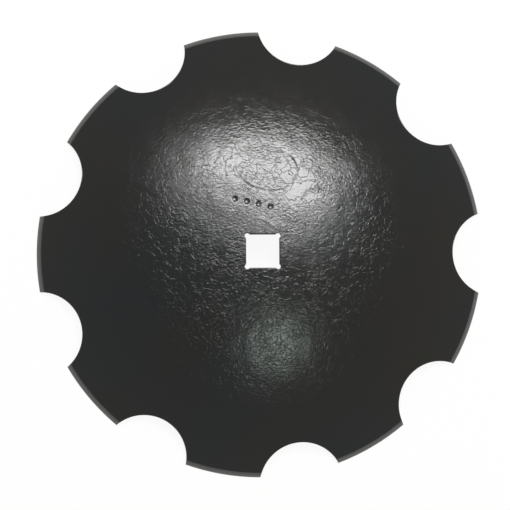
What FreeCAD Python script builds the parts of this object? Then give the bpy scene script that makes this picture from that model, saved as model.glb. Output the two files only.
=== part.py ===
import FreeCAD, Part
import os
import Sketcher

# Notched harrow disc blade: one dished steel plate, lying dome up.
# Millimetres. The axle hole's axis is Z and the cutting edge lies on the plane z = 0.
# The middle of one notch points along +X, and two sides of the square hole run along X.

os.makedirs("parts", exist_ok=True)

doc = FreeCAD.newDocument("harrow_disc_blade")

# ---------------------------------------------------------------- sizes
sheet = doc.addObject("Spreadsheet::Sheet", "sizes")

SIZES = [
    # alias, value, what it is
    ("disc_diameter", "560", "across the cutting edge, land to land"),
    ("dish_radius", "700", "spherical radius of the hollow side"),
    ("plate_thickness", "6", "steel sheet, measured square to its faces"),
    ("bevel_width", "5.9", "ground bevel on the dome side, in plan"),
    ("edge_land", "1.4", "blunt edge left below the bevel"),
    ("notch_count", "9", "notches around the edge, and as many lands"),
    ("notch_radius", "53", "radius of each round notch"),
    ("notch_centre_offset", "13.8", "from the cutting edge out to a notch's centre"),
    ("hole_across_flats", "41", "square axle hole, for a 40 mm square axle"),
    ("relief_radius", "3.2", "drilled relief in each corner of the hole"),
    ("relief_inset", "1.5", "from each flat in to the relief's centre"),
    ("hole_edge_break", "0.8", "small break on the hole's dome side"),
]

row = 1
for alias, value, meaning in SIZES:
    sheet.set("A%d" % row, alias)
    sheet.set("B%d" % row, value)
    sheet.set("C%d" % row, meaning)
    sheet.setAlias("B%d" % row, alias)
    row = row + 1

doc.recompute()


def size(alias):
    """The present value of a size in the sheet, as a plain number."""
    return float(sheet.get(alias))


def point(x, y):
    """A point on a sketch."""
    return FreeCAD.Vector(x, y, 0)


def origin_plane(body, role):
    """One of the body's own base planes, found by its role."""
    for item in body.Origin.OriginFeatures:
        if item.Role == role:
            return item
    raise RuntimeError("no plane " + role)


def new_sketch(body, name, role):
    """An empty sketch on one of the body's base planes."""
    sketch = body.newObject("Sketcher::SketchObject", name)
    sketch.AttachmentSupport = [(origin_plane(body, role), "")]
    sketch.MapMode = "FlatFace"
    return sketch


def measure(sketch, constraint, name, formula):
    """Add a sized constraint and tie it to the sheet."""
    index = sketch.addConstraint(constraint)
    sketch.renameConstraint(index, name)
    sketch.setExpression("Constraints." + name, formula)


# Sketcher's numbers for the origin and the two axes, and for the places on a curve.
AXES = -1
HORIZONTAL_AXIS = -1
VERTICAL_AXIS = -2
START = 1
END = 2
CENTRE = 3

body = doc.addObject("PartDesign::Body", "disc_blade")
body.Label = "disc_blade"

# ---------------------------------------------------------------- dished plate
# Half the blade's cross-section: two concentric arcs, closed by the bevel and the
# blunt edge on the outside and by the axis in the middle.
edge_radius = size("disc_diameter") / 2
edge_land = size("edge_land")
dish_radius = size("dish_radius")
dome_radius = dish_radius + size("plate_thickness")
centre_depth = (dish_radius ** 2 - edge_radius ** 2) ** 0.5
hollow_depth = dish_radius - centre_depth
bevel_start = edge_radius - size("bevel_width")
bevel_height = (dome_radius ** 2 - bevel_start ** 2) ** 0.5 - centre_depth

profile = new_sketch(body, "plate_section", "XZ_Plane")

centre = point(0, -centre_depth)
hollow_apex = point(0, hollow_depth)
dome_apex = point(0, dome_radius - centre_depth)
edge_bottom = point(edge_radius, 0)
edge_top = point(edge_radius, edge_land)
bevel_top = point(bevel_start, bevel_height)


def arc_about(middle, first, last):
    """Counter-clockwise arc about a middle, from one point to another."""
    radius = first.distanceToPoint(middle)
    circle = Part.Circle(middle, FreeCAD.Vector(0, 0, 1), radius)
    return Part.ArcOfCircle(circle, circle.parameter(first), circle.parameter(last))


hollow_side = profile.addGeometry(arc_about(centre, edge_bottom, hollow_apex), False)
dome_side = profile.addGeometry(arc_about(centre, bevel_top, dome_apex), False)
axis_line = profile.addGeometry(Part.LineSegment(hollow_apex, dome_apex), False)
bevel_line = profile.addGeometry(Part.LineSegment(bevel_top, edge_top), False)
land_line = profile.addGeometry(Part.LineSegment(edge_top, edge_bottom), False)

profile.addConstraint(Sketcher.Constraint("Coincident", hollow_side, CENTRE, dome_side, CENTRE))
profile.addConstraint(Sketcher.Constraint("PointOnObject", hollow_side, CENTRE, VERTICAL_AXIS))
profile.addConstraint(Sketcher.Constraint("Coincident", hollow_side, END, axis_line, START))
profile.addConstraint(Sketcher.Constraint("Coincident", dome_side, END, axis_line, END))
profile.addConstraint(Sketcher.Constraint("PointOnObject", axis_line, START, VERTICAL_AXIS))
profile.addConstraint(Sketcher.Constraint("PointOnObject", axis_line, END, VERTICAL_AXIS))
profile.addConstraint(Sketcher.Constraint("Coincident", dome_side, START, bevel_line, START))
profile.addConstraint(Sketcher.Constraint("Coincident", bevel_line, END, land_line, START))
profile.addConstraint(Sketcher.Constraint("Coincident", land_line, END, hollow_side, START))
profile.addConstraint(Sketcher.Constraint("Vertical", land_line))
profile.addConstraint(Sketcher.Constraint("PointOnObject", land_line, END, HORIZONTAL_AXIS))

measure(
    profile,
    Sketcher.Constraint("Radius", hollow_side, dish_radius),
    "hollow_side_radius",
    "sizes.dish_radius",
)
measure(
    profile,
    Sketcher.Constraint("Radius", dome_side, dome_radius),
    "dome_side_radius",
    "sizes.dish_radius + sizes.plate_thickness",
)
measure(
    profile,
    Sketcher.Constraint("DistanceX", AXES, START, land_line, END, edge_radius),
    "edge_reach",
    "sizes.disc_diameter / 2",
)
measure(
    profile,
    Sketcher.Constraint("DistanceY", land_line, END, land_line, START, edge_land),
    "land_height",
    "sizes.edge_land",
)
measure(
    profile,
    Sketcher.Constraint("DistanceX", bevel_line, START, bevel_line, END, edge_radius - bevel_start),
    "bevel_reach",
    "sizes.bevel_width",
)

plate = body.newObject("PartDesign::Revolution", "dished_plate")
plate.Profile = profile
plate.ReferenceAxis = (profile, ["V_Axis"])
plate.Angle = 360
doc.recompute()
plate_volume = plate.Shape.Volume

# ---------------------------------------------------------------- square axle hole
# Four flats, joined by a round relief that bites past each corner, so that neither the
# axle's corners nor a crack find a sharp corner to start in.
half = size("hole_across_flats") / 2
offset = half - size("relief_inset")
relief_radius = size("relief_radius")
reach = (relief_radius ** 2 - size("relief_inset") ** 2) ** 0.5
flat_end = offset - reach

hole_sketch = new_sketch(body, "axle_hole_outline", "XY_Plane")

right_flat = hole_sketch.addGeometry(
    Part.LineSegment(point(half, -flat_end), point(half, flat_end)), False
)
top_flat = hole_sketch.addGeometry(
    Part.LineSegment(point(flat_end, half), point(-flat_end, half)), False
)
left_flat = hole_sketch.addGeometry(
    Part.LineSegment(point(-half, flat_end), point(-half, -flat_end)), False
)
bottom_flat = hole_sketch.addGeometry(
    Part.LineSegment(point(-flat_end, -half), point(flat_end, -half)), False
)
top_right = hole_sketch.addGeometry(
    arc_about(point(offset, offset), point(half, flat_end), point(flat_end, half)), False
)
top_left = hole_sketch.addGeometry(
    arc_about(point(-offset, offset), point(-flat_end, half), point(-half, flat_end)), False
)
bottom_left = hole_sketch.addGeometry(
    arc_about(point(-offset, -offset), point(-half, -flat_end), point(-flat_end, -half)), False
)
bottom_right = hole_sketch.addGeometry(
    arc_about(point(offset, -offset), point(flat_end, -half), point(half, -flat_end)), False
)

# Round the outline: each flat ends where the next relief starts.
OUTLINE = [
    right_flat,
    top_right,
    top_flat,
    top_left,
    left_flat,
    bottom_left,
    bottom_flat,
    bottom_right,
]
for index in range(len(OUTLINE)):
    following = OUTLINE[(index + 1) % len(OUTLINE)]
    hole_sketch.addConstraint(
        Sketcher.Constraint("Coincident", OUTLINE[index], END, following, START)
    )

for flat in (right_flat, left_flat):
    hole_sketch.addConstraint(Sketcher.Constraint("Vertical", flat))
for flat in (top_flat, bottom_flat):
    hole_sketch.addConstraint(Sketcher.Constraint("Horizontal", flat))

# Each flat's distance from the axis, measured away from the axis.
measure(
    hole_sketch,
    Sketcher.Constraint("DistanceX", AXES, START, right_flat, START, half),
    "right_reach",
    "sizes.hole_across_flats / 2",
)
measure(
    hole_sketch,
    Sketcher.Constraint("DistanceX", left_flat, START, AXES, START, half),
    "left_reach",
    "sizes.hole_across_flats / 2",
)
measure(
    hole_sketch,
    Sketcher.Constraint("DistanceY", AXES, START, top_flat, START, half),
    "top_reach",
    "sizes.hole_across_flats / 2",
)
measure(
    hole_sketch,
    Sketcher.Constraint("DistanceY", bottom_flat, START, AXES, START, half),
    "bottom_reach",
    "sizes.hole_across_flats / 2",
)

# Each relief: its radius, and its centre's two distances from the axis.
RELIEF_OFFSET = "sizes.hole_across_flats / 2 - sizes.relief_inset"
RELIEFS = [
    (top_right, "top_right", 1, 1),
    (top_left, "top_left", -1, 1),
    (bottom_left, "bottom_left", -1, -1),
    (bottom_right, "bottom_right", 1, -1),
]
for relief, name, side_x, side_y in RELIEFS:
    measure(
        hole_sketch,
        Sketcher.Constraint("Radius", relief, relief_radius),
        name + "_radius",
        "sizes.relief_radius",
    )
    if side_x > 0:
        across = Sketcher.Constraint("DistanceX", AXES, START, relief, CENTRE, offset)
    else:
        across = Sketcher.Constraint("DistanceX", relief, CENTRE, AXES, START, offset)
    measure(hole_sketch, across, name + "_across", RELIEF_OFFSET)
    if side_y > 0:
        along = Sketcher.Constraint("DistanceY", AXES, START, relief, CENTRE, offset)
    else:
        along = Sketcher.Constraint("DistanceY", relief, CENTRE, AXES, START, offset)
    measure(hole_sketch, along, name + "_along", RELIEF_OFFSET)

axle_hole = body.newObject("PartDesign::Pocket", "axle_hole")
axle_hole.Profile = hole_sketch
axle_hole.Type = "ThroughAll"
axle_hole.Reversed = True
doc.recompute()
holed_volume = axle_hole.Shape.Volume

# The hole's edge on the dome side is broken all round. Its edges are the ones that lie
# wholly above the hollow side's apex.
broken_edges = []
for number, edge in enumerate(axle_hole.Shape.Edges, start=1):
    if edge.BoundBox.ZMin > hollow_depth:
        broken_edges.append("Edge%d" % number)

edge_break = body.newObject("PartDesign::Chamfer", "axle_hole_edge_break")
edge_break.Base = (axle_hole, broken_edges)
edge_break.setExpression("Size", "sizes.hole_edge_break")
doc.recompute()
broken_volume = edge_break.Shape.Volume

# ---------------------------------------------------------------- notches
notch_sketch = new_sketch(body, "notch_outline", "XY_Plane")
notch_radius = size("notch_radius")
notch_reach = edge_radius + size("notch_centre_offset")

notch_circle = notch_sketch.addGeometry(
    Part.Circle(point(notch_reach, 0), FreeCAD.Vector(0, 0, 1), notch_radius), False
)
notch_sketch.addConstraint(
    Sketcher.Constraint("PointOnObject", notch_circle, CENTRE, HORIZONTAL_AXIS)
)
measure(
    notch_sketch,
    Sketcher.Constraint("Radius", notch_circle, notch_radius),
    "notch_size",
    "sizes.notch_radius",
)
measure(
    notch_sketch,
    Sketcher.Constraint("DistanceX", AXES, START, notch_circle, CENTRE, notch_reach),
    "notch_reach",
    "sizes.disc_diameter / 2 + sizes.notch_centre_offset",
)

notch = body.newObject("PartDesign::Pocket", "notch")
notch.Profile = notch_sketch
notch.Type = "ThroughAll"
notch.Reversed = True
doc.recompute()
notched_volume = notch.Shape.Volume

notches = body.newObject("PartDesign::PolarPattern", "notches")
notches.Originals = [notch]
notches.Axis = (notch_sketch, ["N_Axis"])
notches.Angle = 360
notches.setExpression("Occurrences", "sizes.notch_count")
body.Tip = notches
doc.recompute()
blade_volume = notches.Shape.Volume

# ---------------------------------------------------------------- checks
for item in doc.Objects:
    if "Invalid" in item.State or "Error" in item.State:
        raise RuntimeError("%s is %s" % (item.Name, item.State))
    shape = getattr(item, "Shape", None)
    if shape is not None and item.isDerivedFrom("PartDesign::Feature"):
        if shape.isNull() or not shape.isValid():
            raise RuntimeError(item.Name + " has a bad shape")

if not plate_volume > holed_volume > broken_volume > notched_volume > blade_volume:
    raise RuntimeError("a cut took nothing away")
one_notch = broken_volume - notched_volume
all_notches = broken_volume - blade_volume
if abs(all_notches / one_notch - size("notch_count")) > 0.001:
    raise RuntimeError("the notches aren't all alike")
if len(body.Shape.Solids) != 1:
    raise RuntimeError("the blade isn't one solid")

box = body.Shape.BoundBox
print("plate %.0f mm3, finished %.0f mm3" % (plate_volume, blade_volume))
print("x %.2f to %.2f, y %.2f to %.2f, z %.2f to %.2f mm" % (
    box.XMin, box.XMax, box.YMin, box.YMax, box.ZMin, box.ZMax
))

body.Shape.exportStep("parts/disc_blade.step")
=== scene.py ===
# %% [markdown]
# # A notched disc blade for a harrow
# A harrow carries rows of these blades on a square axle. Each blade is one dished steel plate with
# a square hole in its middle and round notches in its rim, pressed hot, hardened and then coated
# with black enamel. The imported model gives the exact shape. This lesson builds the visible skin of
# that plate as one closed numpy surface, gives it an enamel finish, and lights it softly.

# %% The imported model
import math

import bpy
import numpy as np
from mathutils import Matrix, Vector


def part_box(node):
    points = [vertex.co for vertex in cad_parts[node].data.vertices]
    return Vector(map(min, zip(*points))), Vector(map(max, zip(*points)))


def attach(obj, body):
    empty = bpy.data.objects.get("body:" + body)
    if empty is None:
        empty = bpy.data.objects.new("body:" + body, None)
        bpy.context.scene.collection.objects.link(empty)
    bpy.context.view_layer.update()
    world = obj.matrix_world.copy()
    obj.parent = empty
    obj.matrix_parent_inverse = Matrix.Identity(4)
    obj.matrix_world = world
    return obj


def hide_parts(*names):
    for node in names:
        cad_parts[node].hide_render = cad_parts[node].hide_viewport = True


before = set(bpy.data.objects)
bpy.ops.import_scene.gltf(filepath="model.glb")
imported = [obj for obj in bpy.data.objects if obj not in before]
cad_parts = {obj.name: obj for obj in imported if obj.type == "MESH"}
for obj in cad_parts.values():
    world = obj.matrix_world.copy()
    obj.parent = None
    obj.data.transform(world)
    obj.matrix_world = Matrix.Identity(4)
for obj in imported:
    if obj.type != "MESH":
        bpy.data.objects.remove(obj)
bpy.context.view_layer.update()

print("nodes:", sorted(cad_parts))

# %% [markdown]
# ## The camera
# The blade lies on its hollow side, and it is seen from nearly straight above with a long lens.
# A camera can be aimed with a constraint, but a matrix made of three directions stays fixed and is
# easy to read: to the right, up, and back towards the viewer.

# %% Camera
low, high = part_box("disc_blade")
axle_to_aim = (-0.0063, -0.0013)
aim = Vector((*axle_to_aim, low.z))
view_from = Vector((-0.0525, -0.0556, 1.0)).normalized()
view_distance = 3.6
tilt = -0.0056

level = Vector((0, 1, 0)).cross(view_from).normalized()
steep = view_from.cross(level)
side = level * math.cos(tilt) + steep * math.sin(tilt)
upward = steep * math.cos(tilt) - level * math.sin(tilt)
place = aim + view_distance * view_from

camera_data = bpy.data.cameras.new("long_lens")
camera_data.lens = 202.2
camera_data.sensor_width = 36
camera = bpy.data.objects.new("camera", camera_data)
turn = Matrix((side, upward, view_from)).transposed().to_4x4()
camera.matrix_world = Matrix.Translation(place) @ turn
bpy.context.scene.collection.objects.link(camera)
bpy.context.scene.camera = camera
bpy.context.scene.view_settings.view_transform = "Standard"
print("camera at", [round(v, 4) for v in place])

# %% [markdown]
# ## The profile of the plate
# A disc like this is cut from flat plate and pressed between two dies, so both faces are parts of
# spheres with one centre: a hollow of 700 mm radius below, and a dome 6 mm further out above. The
# outer edge is then ground on the domed side, which leaves a narrow sloped band on the teeth
# between the notches. Heights are plain formulas of the distance from the axis, so every later
# ring of points can ask for its height.

# %% Radii of the pressed plate, in millimetres
plate_radius = 280.0
edge_gap = 0.05
edge_radius = plate_radius - edge_gap
hollow_radius = 700.0
plate_thickness = 6.0
bevel_width = 5.9
edge_land = 1.4
centre_depth = math.sqrt(hollow_radius**2 - plate_radius**2)


def dome_height(radius):
    """Height of the domed face: a sphere about the hollow's centre, larger by the thickness."""
    return np.sqrt((hollow_radius + plate_thickness) ** 2 - radius**2) - centre_depth


def hollow_height(radius):
    """Height of the hollow face: a sphere that meets the floor at the edge."""
    return np.sqrt(hollow_radius**2 - radius**2) - centre_depth


bevel_start = plate_radius - bevel_width
bevel_slope = (dome_height(bevel_start) - edge_land) / bevel_width


def top_height(radius):
    """Height of the upper face: the lower one of the dome and the ground cone at the edge."""
    return np.minimum(dome_height(radius), edge_land + (plate_radius - radius) * bevel_slope)


print("rise at the middle:", round(float(dome_height(0.0)), 2), "mm")
print("bevel slope:", round(math.degrees(math.atan(bevel_slope)), 1), "degrees")

# %% [markdown]
# ## The outline: nine notches
# The notches let the blade grip and cut through straw. They are bites of one round punch, whose
# centre lies a little outside the rim. A boolean cut would leave long thin triangles, so the
# outline itself is the first grid direction: 32 steps round each notch and 24 along each tooth,
# with a point exactly on every corner.

# %% Outline of the rim
notch_count = 9
notch_radius = 53.0
notch_centre = 293.8
steps_notch = 32
steps_tooth = 24

corner_x = (notch_centre**2 + edge_radius**2 - notch_radius**2) / (2 * notch_centre)
corner_y = math.sqrt(edge_radius**2 - corner_x**2)
corner_turn = math.atan2(corner_y, corner_x - notch_centre)
corner_angle = math.atan2(corner_y, corner_x)


def rim_outline():
    """Polar angle and radius of each outline point, once round. In a notch, a point is the
    notch centre plus the punch's radius times a direction that swings from corner to corner. On
    a tooth the radius is that of the edge. One ninth is worked out, and then turned nine times."""
    swing = np.linspace(2 * np.pi - corner_turn, corner_turn, steps_notch + 1)[:-1]
    x = notch_centre + notch_radius * np.cos(swing)
    y = notch_radius * np.sin(swing)
    tooth = np.linspace(corner_angle, 2 * np.pi / notch_count - corner_angle, steps_tooth + 1)[:-1]
    angle = np.concatenate([np.arctan2(y, x), tooth])
    radius = np.concatenate([np.hypot(x, y), np.full(steps_tooth, edge_radius)])
    turns = np.arange(notch_count)[:, None] * 2 * np.pi / notch_count
    return (turns + angle).ravel(), np.tile(radius, notch_count)


rim_angle, rim_radius = rim_outline()
columns = rim_angle.size
print("columns:", columns, "notch depth:", round(edge_radius - rim_radius.min(), 1), "mm")

# %% [markdown]
# ## The square hole
# The axle is a square bar, so the hole is square too, with a small round relief in each corner
# that keeps the hardened plate from cracking there. Each quarter of the outline is a flat, a
# relief arc and a flat again, and it is sampled by the same columns as the rim.

# %% Outline of the hole
hole_half = 20.5
relief_radius = 3.2
relief_inset = 1.5
relief_centre = hole_half - relief_inset
relief_end = math.acos((hole_half - relief_centre) / relief_radius)
flat_end = relief_centre - relief_radius * math.sin(relief_end)
flat_share = math.radians(24)


def hole_outline(angle):
    """Points of the hole for a column's angle. In each quarter turn, the first and last 24
    degrees run along flats, and the 42 degrees between them run round the relief arc."""
    part = np.mod(angle, np.pi / 2)
    share = (part - flat_share) / (np.pi / 2 - 2 * flat_share)
    swing = -relief_end + share * (np.pi / 2 + 2 * relief_end)
    x = relief_centre + relief_radius * np.cos(swing)
    y = relief_centre + relief_radius * np.sin(swing)
    first = part < flat_share
    last = part > np.pi / 2 - flat_share
    x = np.where(first, hole_half, np.where(last, flat_end * (np.pi / 2 - part) / flat_share, x))
    y = np.where(first, flat_end * part / flat_share, np.where(last, hole_half, y))
    quarter = angle - part
    return x * np.cos(quarter) - y * np.sin(quarter), x * np.sin(quarter) + y * np.cos(quarter)


hole_x, hole_y = hole_outline(rim_angle)
print("hole across flats:", round(2 * hole_half, 2), "mm")

# %% [markdown]
# ## What the press and the punches left
# Hot pressed plate is never quite even. The dome rolls a little where the scale was thick, two
# thin ridges cross above the hole, a fitter's round punch has left four dots in a row, and a plain
# pressed ring marks the place for a stamp that this blade doesn't carry. These marks are part of
# the shape, so they are worked out as heights. No point lies above the dome, because the plate
# can't be thicker than it was cut.

# %% Rolling of the pressed plate, in millimetres
wave_count = 30
shortest_wave = 13.0
longest_wave = 46.0
wave_share = 0.00030


def rolling(x, y):
    """Uneven plate: plane waves, each with its own direction, start and length, and each as high
    as a set share of its length, so that short ones are lower."""
    dice = np.random.default_rng(11)
    length = shortest_wave * (longest_wave / shortest_wave) ** dice.random(wave_count)
    heading = dice.random(wave_count) * 2 * np.pi
    start = dice.random(wave_count) * 2 * np.pi
    along = x[..., None] * np.cos(heading) + y[..., None] * np.sin(heading)
    return (wave_share * length * np.sin(2 * np.pi * along / length + start)).sum(-1)


# %% Pressed ring, punched dots and drawn ridges, in millimetres
ring_place = (6.0, 104.0)
ring_turn = math.radians(-13)
ring_half_width = 41.0
ring_half_height = 29.0
ring_mean_radius = 34.0
groove_half_width = 1.5
dot_count = 4
first_dot = (-34.0, 65.0)
dot_row = (44.0, -10.0)
dot_radius = 3.0
left_arc, left_arc_radius = (-14.0, 2.0), 40.0
right_arc, right_arc_radius = (34.0, 24.0), 30.0
crossing, crossing_reach = (5.0, 36.0), 13.0
ridge_half_width = 1.3


def pressed_ring(x, y):
    """A plain oval groove: a bell curve of the distance from an ellipse, turned 13 degrees."""
    off_x = x - ring_place[0]
    off_y = y - ring_place[1]
    u = off_x * math.cos(ring_turn) + off_y * math.sin(ring_turn)
    v = off_y * math.cos(ring_turn) - off_x * math.sin(ring_turn)
    away = (np.hypot(u / ring_half_width, v / ring_half_height) - 1.0) * ring_mean_radius
    return np.exp(-((away / groove_half_width) ** 2))


def punched_dots(x, y):
    """Round dots in a row: flat bottomed bell curves of the distance from their centres."""
    share = np.arange(dot_count) / (dot_count - 1.0)
    off_x = x[..., None] - (first_dot[0] + dot_row[0] * share)
    off_y = y[..., None] - (first_dot[1] + dot_row[1] * share)
    return np.exp(-((np.hypot(off_x, off_y) / dot_radius) ** 4)).sum(-1)


def off_arc(x, y, middle, radius):
    """Distance from a circle about a middle."""
    return np.abs(np.hypot(x - middle[0], y - middle[1]) - radius)


def drawn_ridges(x, y):
    """Two curved ridges that cross above the hole: bell curves of the distance from two
    circles, kept only near the crossing."""
    left = np.exp(-((off_arc(x, y, left_arc, left_arc_radius) / ridge_half_width) ** 2))
    right = np.exp(-((off_arc(x, y, right_arc, right_arc_radius) / ridge_half_width) ** 2))
    near = np.exp(-((np.hypot(x - crossing[0], y - crossing[1]) / crossing_reach) ** 4))
    return near * (left + right)


# %% How far the face lies below the dome, in millimetres
mean_drop = 0.16
ring_depth = 0.22
dot_depth = 0.75
ridge_height = 0.12
fade_end = 272.0
fade_width = 45.0
least_drop = 0.01


def press_drop(x, y):
    """The marks added up. They fade out towards the ground edge, and never rise above the dome."""
    drop = mean_drop + rolling(x, y) + ring_depth * pressed_ring(x, y)
    drop = drop + dot_depth * punched_dots(x, y) - ridge_height * drawn_ridges(x, y)
    fade = np.clip((fade_end - np.hypot(x, y)) / fade_width, 0, 1)
    return np.maximum(drop, 0.0) * fade * fade * (3 - 2 * fade) + least_drop


# %% [markdown]
# ## One closed surface
# The skin is a grid that closes both ways, like a ring doughnut. One direction goes round the
# outline. The other goes along a cut of the plate: out over the dome, over the ground band, down
# the rim, back under the hollow and up the wall of the hole. Real edges are never sharp, so each
# one is a short arc of points, and that arc is what catches the light.

# %% Rings from the hole to the ground band
edge_round = 0.9
meet_radius = 44.0
rings_to_meet = 13
ring_x = []
ring_y = []
ring_z = []


def add_ring(x, y, z):
    """Puts one ring of points, one for each column, at the end of the list."""
    ring_x.append(x)
    ring_y.append(y)
    ring_z.append(z)


meet_x = meet_radius * np.cos(rim_angle)
meet_y = meet_radius * np.sin(rim_angle)
gap = np.hypot(meet_x - hole_x, meet_y - hole_y)


def between(distance, face):
    """A ring on a face, at a distance from the hole towards the meeting circle."""
    x = hole_x + (meet_x - hole_x) * distance / gap
    y = hole_y + (meet_y - hole_y) * distance / gap
    return x, y, face(np.hypot(x, y))


def pressed_dome(x, y):
    """Height of the real upper face: the dome or the ground cone, less what the press left."""
    return top_height(np.hypot(x, y)) - press_drop(x, y)


for swing in np.radians([0, 20, 40, 60, 80]):
    x, y, z = between(edge_round * (1 - np.cos(swing)), top_height)
    add_ring(x, y, z - press_drop(x, y) - edge_round * (1 - np.sin(swing)))
for share in np.linspace(0, 1, rings_to_meet + 1)[:-1]:
    x, y, z = between(edge_round + share * (gap - edge_round), top_height)
    add_ring(x, y, z - press_drop(x, y))
print("rings from the hole to the meeting circle:", len(ring_x))

# %% Rings over the dome and the ground band
dense_radius = 124.0
dense_rings = 67
wide_rings = 36
crease_half_width = 0.4
crease_inset = 1.5
largest_rim_round = 0.6
crease = np.minimum(bevel_start, rim_radius - crease_inset)


def add_circle(radius):
    """A ring on the upper face at a radius that may differ from column to column."""
    x = radius * np.cos(rim_angle)
    y = radius * np.sin(rim_angle)
    add_ring(x, y, pressed_dome(x, y))


for radius in np.linspace(meet_radius, dense_radius, dense_rings + 1)[:-1]:
    add_circle(np.full(columns, radius))
for share in np.linspace(0, 1, wide_rings):
    add_circle(dense_radius + share * (crease - crease_half_width - dense_radius))
add_circle(crease)
add_circle(crease + crease_half_width)

rim_wall = top_height(rim_radius) - hollow_height(rim_radius)
rim_round = np.minimum(largest_rim_round, 0.3 * rim_wall)
for share in (0.35, 0.7):
    add_circle(crease + crease_half_width + share * (rim_radius - rim_round - crease - crease_half_width))
upper_rings = len(ring_x)
print("rings on the upper face:", upper_rings)

# %% Rings down the rim
floor_gap = 0.02
largest_foot_round = 0.35


def add_rim(inset, height):
    """A ring at the rim, set in from the outline by inset, at a height."""
    add_ring((rim_radius - inset) * np.cos(rim_angle), (rim_radius - inset) * np.sin(rim_angle), height)


rim_top = top_height(rim_radius)
rim_low = np.maximum(hollow_height(rim_radius), floor_gap)
for swing in np.radians([0, 30, 60, 90]):
    inset = rim_round * (1 - np.sin(swing))
    add_rim(inset, top_height(rim_radius - inset) - least_drop - rim_round * (1 - np.cos(swing)))
add_rim(0.0, rim_top - rim_round - 0.25 * (rim_wall - rim_round))
add_rim(0.0, rim_low + 0.3 * (rim_wall - rim_round))
foot_round = np.minimum(largest_foot_round, 0.2 * rim_wall)
for swing in np.radians([0, 45, 90]):
    inset = foot_round * (1 - np.cos(swing))
    foot = np.maximum(hollow_height(rim_radius - inset), floor_gap)
    add_rim(inset, foot + foot_round * (1 - np.sin(swing)))
print("height of the rim's wall:", round(rim_wall.min(), 2), "to", round(rim_wall.max(), 2), "mm")

# %% Rings under the hollow and up the wall of the hole
hollow_rings = 37
step_past_foot = 0.4
lip_round = 0.4
lip_edge = 0.5
inner_rim = rim_radius - foot_round - step_past_foot
for share in np.linspace(0, 1, hollow_rings + 1)[:-1]:
    radius = inner_rim + share * (meet_radius - inner_rim)
    add_ring(radius * np.cos(rim_angle), radius * np.sin(rim_angle), hollow_height(radius))
for share in (1.0, 0.7, 0.4, 0.15):
    add_ring(*between(lip_edge + share * (gap - lip_edge), hollow_height))
for swing in np.radians([90, 45, 0]):
    x, y, z = between(lip_round * (1 - np.cos(swing)), hollow_height)
    add_ring(x, y, z + lip_round * (1 - np.sin(swing)))
wall_low = np.array(ring_z[-1])
wall_top = np.array(ring_z[0])
for share in (0.2, 0.8):
    add_ring(hole_x, hole_y, wall_low + share * (wall_top - wall_low))

points = np.stack([np.array(ring_x), np.array(ring_y), np.array(ring_z)], axis=-1)
rings = points.shape[0]
print("rings:", rings, "triangles:", 2 * rings * columns)

# %% [markdown]
# A grid that closes both ways needs no caps and has no open seam. The faces are four index arrays
# side by side, and foreach_set copies the points straight into the mesh.

# %% Mesh of the plate
def closed_faces(ring_count, column_count):
    """Corners of each face: this point, the next ring, the next ring and column, the next
    column. Both directions wrap round to their start."""
    ring = np.arange(ring_count)[:, None]
    column = np.arange(column_count)[None, :]
    next_ring = (ring + 1) % ring_count
    next_column = (column + 1) % column_count
    corners = [ring * column_count + column, next_ring * column_count + column]
    corners += [next_ring * column_count + next_column, ring * column_count + next_column]
    return np.stack([np.broadcast_to(c, (ring_count, column_count)) for c in corners], axis=-1)


def surface(name, places, faces):
    """A smooth mesh object in metres from places in millimetres, its origin at the world's."""
    mesh = bpy.data.meshes.new(name)
    faces = faces.reshape(-1, 4)
    mesh.vertices.add(places.size // 3)
    mesh.vertices.foreach_set("co", (places.reshape(-1, 3) * 0.001).astype(np.float32).ravel())
    mesh.loops.add(faces.size)
    mesh.loops.foreach_set("vertex_index", faces.astype(np.int32).ravel())
    mesh.polygons.add(len(faces))
    mesh.polygons.foreach_set("loop_start", np.arange(0, faces.size, 4, dtype=np.int32))
    mesh.polygons.foreach_set("use_smooth", np.ones(len(faces), dtype=bool))
    mesh.update(calc_edges=True)
    mesh.validate()
    thing = bpy.data.objects.new(name, mesh)
    bpy.context.scene.collection.objects.link(thing)
    return thing


plate = surface("notched_plate", points, closed_faces(rings, columns))
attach(plate, "root")
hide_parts("disc_blade")
print("plate faces:", len(plate.data.polygons))

# %% [markdown]
# ## Helpers for materials
# Colours are written as the hex values that a paint maker would give, and the shader needs them
# linear. One small function adds any node, sets it and links it, so a material reads as a list of
# steps.

# %% Colour and node helpers
def linear(code):
    """sRGB hex to linear red, green, blue and one for alpha, by the sRGB curve."""
    parts = [int(code[i:i + 2], 16) / 255 for i in (1, 3, 5)]
    return [p / 12.92 if p <= 0.04045 else ((p + 0.055) / 1.055) ** 2.4 for p in parts] + [1.0]


def add(tree, kind, sockets, **choices):
    """Adds a node. Choices are its own settings. Sockets gives each input, by name or number,
    a value, or the output of another node, which is linked to it."""
    made = tree.nodes.new("ShaderNode" + kind)
    for name, value in choices.items():
        setattr(made, name, value)
    for key, value in sockets.items():
        if isinstance(value, bpy.types.NodeSocket):
            tree.links.new(value, made.inputs[key])
        else:
            made.inputs[key].default_value = value
    return made


def empty_material(name):
    """A material with only its output node."""
    material = bpy.data.materials.new(name)
    material.use_nodes = True
    material.node_tree.nodes.clear()
    return material


# %% [markdown]
# ## Black dip enamel on hardened steel
# Blades are dipped or sprayed with a thin black alkyd enamel over the scale left by hardening. The
# coat is smooth and half glossy: it takes clear, soft reflections, while the rough scale under it
# shows as a pebbly skin about 4 mm across near the middle, where the plate was pressed hardest.
# Enamel has an index of refraction near 1.55 and isn't metallic. The colour is nearly black, a
# little warmer or colder from place to place as the coat gets thinner.

# %% Enamel: where its patterns lie
enamel = empty_material("black_dip_enamel")
tree = enamel.node_tree
place_on = add(tree, "TexCoord", {}).outputs["Object"]
face_side = add(tree, "TexCoord", {}).outputs["Normal"]

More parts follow.
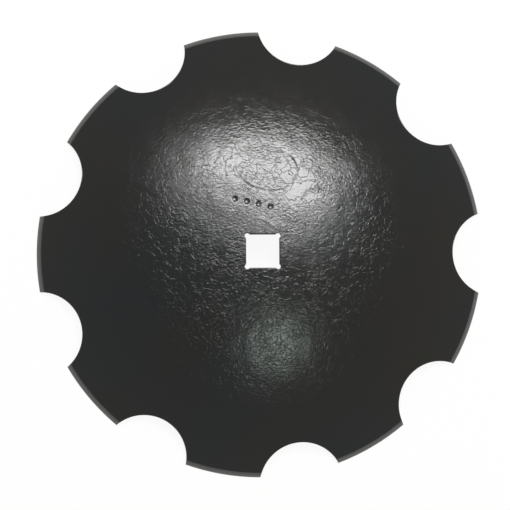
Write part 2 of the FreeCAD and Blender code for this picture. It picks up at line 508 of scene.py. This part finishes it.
flat_place = add(tree, "VectorMath", {0: place_on, 1: (1, 1, 0)}, operation="MULTIPLY")
from_axis = add(tree, "VectorMath", {0: flat_place.outputs[0]}, operation="LENGTH").outputs["Value"]
middle_part = add(tree, "MapRange", {"Value": from_axis, "From Min": 0.105, "From Max": 0.215,
                                     "To Min": 1.0, "To Max": 0.18}, interpolation_type="SMOOTHSTEP")

patches = add(tree, "TexNoise", {"Vector": place_on, "Scale": 26.0, "Detail": 2.0})
patchy = add(tree, "MapRange", {"Value": patches.outputs["Fac"], "From Min": 0.38, "From Max": 0.62,
                                "To Min": 0.35, "To Max": 1.0}, interpolation_type="SMOOTHSTEP")

# %% Enamel: the pebbly skin, 4.2 mm across, a finer one of 2.4 mm, and creases
stretched = add(tree, "Mapping", {"Vector": place_on, "Rotation": (0, 0, math.radians(14)),
                                  "Scale": (1.0, 1.5, 1.0)})
pebbles = add(tree, "TexNoise", {"Vector": stretched.outputs[0], "Scale": 240.0, "Detail": 1.0,
                                 "Roughness": 0.5, "Distortion": 0.5})
strength = add(tree, "Math", {0: middle_part.outputs[0], 1: patchy.outputs[0]}, operation="MULTIPLY")
raised = add(tree, "MapRange", {"Value": pebbles.outputs["Fac"], "From Min": 0.38, "From Max": 0.66},
             interpolation_type="SMOOTHSTEP")
pebble_height = add(tree, "Math", {0: raised.outputs[0], 1: strength.outputs[0]}, operation="MULTIPLY")

fine_skin = add(tree, "TexNoise", {"Vector": place_on, "Scale": 420.0, "Detail": 1.0})
fine_height = add(tree, "Math", {0: fine_skin.outputs["Fac"], 1: middle_part.outputs[0]},
                  operation="MULTIPLY")

# Creases wander where the noise crosses its middle value: distance from 0.5, cut off at a width.
crease_noise = add(tree, "TexNoise", {"Vector": place_on, "Scale": 95.0, "Detail": 2.0,
                                      "Distortion": 0.6})
crease_off = add(tree, "Math", {0: crease_noise.outputs["Fac"], 1: 0.5}, operation="SUBTRACT")
crease_far = add(tree, "Math", {0: crease_off.outputs[0]}, operation="ABSOLUTE")
crease_line = add(tree, "MapRange", {"Value": crease_far.outputs[0], "From Min": 0.0, "From Max": 0.035},
                  interpolation_type="SMOOTHSTEP")
crease_height = add(tree, "Math", {0: crease_line.outputs[0], 1: middle_part.outputs[0]},
                    operation="MULTIPLY")

skin = add(tree, "Bump", {"Strength": 1.0, "Distance": 0.00010, "Height": pebble_height.outputs[0]})
skin = add(tree, "Bump", {"Strength": 1.0, "Distance": 0.00004, "Height": fine_height.outputs[0],
                          "Normal": skin.outputs[0]})
skin = add(tree, "Bump", {"Strength": 1.0, "Distance": 0.00008, "Height": crease_height.outputs[0],
                          "Normal": skin.outputs[0]})

# %% Enamel: colour of the coat, and of the ground band, which is bare steel with a painted sheen
tints = add(tree, "TexNoise", {"Vector": place_on, "Scale": 7.0, "Detail": 2.0})
coat = add(tree, "ValToRGB", {"Fac": tints.outputs["Fac"]})
coat.color_ramp.elements[0].position = 0.35
coat.color_ramp.elements[0].color = linear("#181a1c")
coat.color_ramp.elements[1].position = 0.65
coat.color_ramp.elements[1].color = linear("#1c1b18")

ragged = add(tree, "TexNoise", {"Vector": place_on, "Scale": 260.0, "Detail": 3.0})
ragged_edge = add(tree, "Math", {0: ragged.outputs["Fac"], 1: 0.0016, 2: from_axis},
                  operation="MULTIPLY_ADD")
band = add(tree, "MapRange", {"Value": ragged_edge.outputs[0], "From Min": 0.27485, "From Max": 0.2752},
           interpolation_type="SMOOTHSTEP")
facing_up = add(tree, "SeparateXYZ", {0: face_side})
upper = add(tree, "MapRange", {"Value": facing_up.outputs["Z"], "From Min": 0.1, "From Max": 0.2})
band_mask = add(tree, "Math", {0: band.outputs[0], 1: upper.outputs[0]}, operation="MULTIPLY")

# The ground band is bare ground steel, and its colour also holds a painted sheen. It grows lighter towards
# the outer edge, standing in for the reflection that the band catches.
band_place = add(tree, "MapRange", {"Value": from_axis, "From Min": 0.2741, "From Max": 0.2797})
band_steel_and_sheen = add(tree, "ValToRGB", {"Fac": band_place.outputs[0]})
band_steel_and_sheen.color_ramp.elements[0].color = linear("#1e1e1d")
band_steel_and_sheen.color_ramp.elements[1].color = linear("#5a5957")
colour = add(tree, "Mix", {"Factor": band_mask.outputs[0], "A": coat.outputs[0], "B": band_steel_and_sheen.outputs[0]},
             data_type="RGBA")

# %% Enamel: gloss, and the finished shader
gloss_patch = add(tree, "TexNoise", {"Vector": place_on, "Scale": 60.0, "Detail": 3.0})
gloss = add(tree, "MapRange", {"Value": gloss_patch.outputs["Fac"], "From Min": 0.3, "From Max": 0.7,
                               "To Min": 0.15, "To Max": 0.18})
gloss_all = add(tree, "Mix", {"Factor": band_mask.outputs[0], "A": gloss.outputs[0], "B": 0.42},
                data_type="FLOAT")

shader = add(tree, "BsdfPrincipled", {"Base Color": colour.outputs["Result"], "IOR": 1.55,
                                      "Roughness": gloss_all.outputs["Result"], "Metallic": 0.0,
                                      "Normal": skin.outputs[0]})
add(tree, "OutputMaterial", {"Surface": shader.outputs[0]})
plate.data.materials.append(enamel)
print("enamel nodes:", len(tree.nodes))

# %% [markdown]
# ## The floor
# The blade lies on a plain white sheet. A camera ray, or one that a glossy face sends out, sees
# the sheet as mostly plain white light, and the rest is ordinary white paint, so the shadow stays.
# From below the sheet is clear, so that the hollow side of the blade can be looked at too.

# %% Floor
reach = np.array([-4000.0, 4000.0])
floor_x, floor_y = np.meshgrid(reach, reach)
sheet_points = np.stack([floor_x, floor_y, np.zeros((2, 2))], axis=-1)
floor = surface("floor", sheet_points, np.array([[0, 1, 3, 2]]))

white_sheet = empty_material("white_paper_sheet")
tree = white_sheet.node_tree
ray = add(tree, "LightPath", {})
seen = add(tree, "Math", {0: ray.outputs["Is Camera Ray"], 1: ray.outputs["Is Glossy Ray"]},
           operation="MAXIMUM")
seen = add(tree, "Math", {0: seen.outputs[0], 1: ray.outputs["Is Transmission Ray"]},
           operation="MAXIMUM")
lit_share = add(tree, "Math", {0: seen.outputs[0], 1: 0.92}, operation="MULTIPLY")
paper = add(tree, "BsdfDiffuse", {"Color": linear("#f4f4f2")})
glow = add(tree, "Emission", {"Color": (1, 1, 1, 1), "Strength": 1.0})
mixed = add(tree, "MixShader", {0: lit_share.outputs[0], 1: paper.outputs[0], 2: glow.outputs[0]})
below = add(tree, "NewGeometry", {}).outputs["Backfacing"]
clear = add(tree, "BsdfTransparent", {})
one_sided = add(tree, "MixShader", {0: below, 1: mixed.outputs[0], 2: clear.outputs[0]})
add(tree, "OutputMaterial", {"Surface": one_sided.outputs[0]})
floor.data.materials.append(white_sheet)

# %% [markdown]
# ## Light
# A dark glossy thing is lit by what it reflects. Three soft boxes hang flat under the ceiling, on
# the far side of the blade, and the dome shows them as one broad bright patch above the hole. A
# small one in front makes the faint cool patch below it. A real soft box is brightest in its
# middle and fades to its cloth edges. An area lamp has a UV map of its own, so a ramp of the
# distance from its middle gives it that fade. The room itself is a plain grey, darker overhead
# than at the walls.

# %% Soft boxes
def soft_box(name, lamp_height, lean_x, lean_y, width, depth, turn, brightness, full, colour):
    """An oval area lamp that looks straight down. Its place is given as metres sideways per
    metre of height, and so is its size. No two hang at one height, because a ray passes through
    one lamp to the next only where they are apart. Its power is brightness times pi times its
    area, which makes its face that bright. It is evenly bright out to a share, full, of its
    radius."""
    data = bpy.data.lights.new(name, "AREA")
    data.shape = "ELLIPSE"
    data.size = width * lamp_height
    data.size_y = depth * lamp_height
    data.energy = brightness * math.pi * math.pi / 4 * data.size * data.size_y
    data.color = linear(colour)[:3]
    data.use_nodes = True
    cloth = data.node_tree
    cloth.nodes.clear()
    on_cloth = add(cloth, "TexCoord", {}).outputs["UV"]
    off_middle = add(cloth, "VectorMath", {0: on_cloth, 1: (0.5, 0.5, 0.0)}, operation="DISTANCE")
    fade = add(cloth, "MapRange", {"Value": off_middle.outputs["Value"], "From Min": 0.5 * full,
                                   "From Max": 0.5, "To Min": 1.0, "To Max": 0.0},
               interpolation_type="SMOOTHSTEP")
    bright = add(cloth, "Emission", {"Strength": fade.outputs[0]})
    add(cloth, "OutputLight", {"Surface": bright.outputs[0]})
    lamp = bpy.data.objects.new(name, data)
    lamp.location = (lean_x * lamp_height, lean_y * lamp_height, high.z + lamp_height)
    lamp.rotation_euler = (0, 0, math.radians(turn))
    bpy.context.scene.collection.objects.link(lamp)


soft_box("back_soft_box", lamp_height=3.9, lean_x=0.06, lean_y=0.468, width=0.608, depth=0.256,
         turn=4, brightness=12.6, full=0.8, colour="#ffffff")
soft_box("wide_soft_box", lamp_height=4.1, lean_x=0.02, lean_y=0.344, width=1.07, depth=0.61,
         turn=-21, brightness=5.3, full=0.3, colour="#ffffff")
soft_box("right_soft_box", lamp_height=4.0, lean_x=0.26, lean_y=0.327, width=0.68, depth=0.200,
         turn=30, brightness=17.5, full=0.0, colour="#ffffff")
soft_box("front_soft_box", lamp_height=4.2, lean_x=0.12, lean_y=-0.34, width=0.316, depth=0.264,
         turn=23, brightness=9.5, full=0.0, colour="#e4f4ea")

# %% Room
room = bpy.data.worlds.new("room")
room.use_nodes = True
tree = room.node_tree
tree.nodes.clear()
heading = add(tree, "TexCoord", {}).outputs["Generated"]
height_part = add(tree, "SeparateXYZ", {0: heading}).outputs["Z"]
wall_share = add(tree, "MapRange", {"Value": height_part, "From Min": 1.0, "From Max": 0.55,
                                    "To Min": 0.26, "To Max": 0.52})
even = add(tree, "Background", {"Color": linear("#f3f2ee"), "Strength": wall_share.outputs[0]})
add(tree, "OutputWorld", {"Surface": even.outputs[0]})
bpy.context.scene.world = room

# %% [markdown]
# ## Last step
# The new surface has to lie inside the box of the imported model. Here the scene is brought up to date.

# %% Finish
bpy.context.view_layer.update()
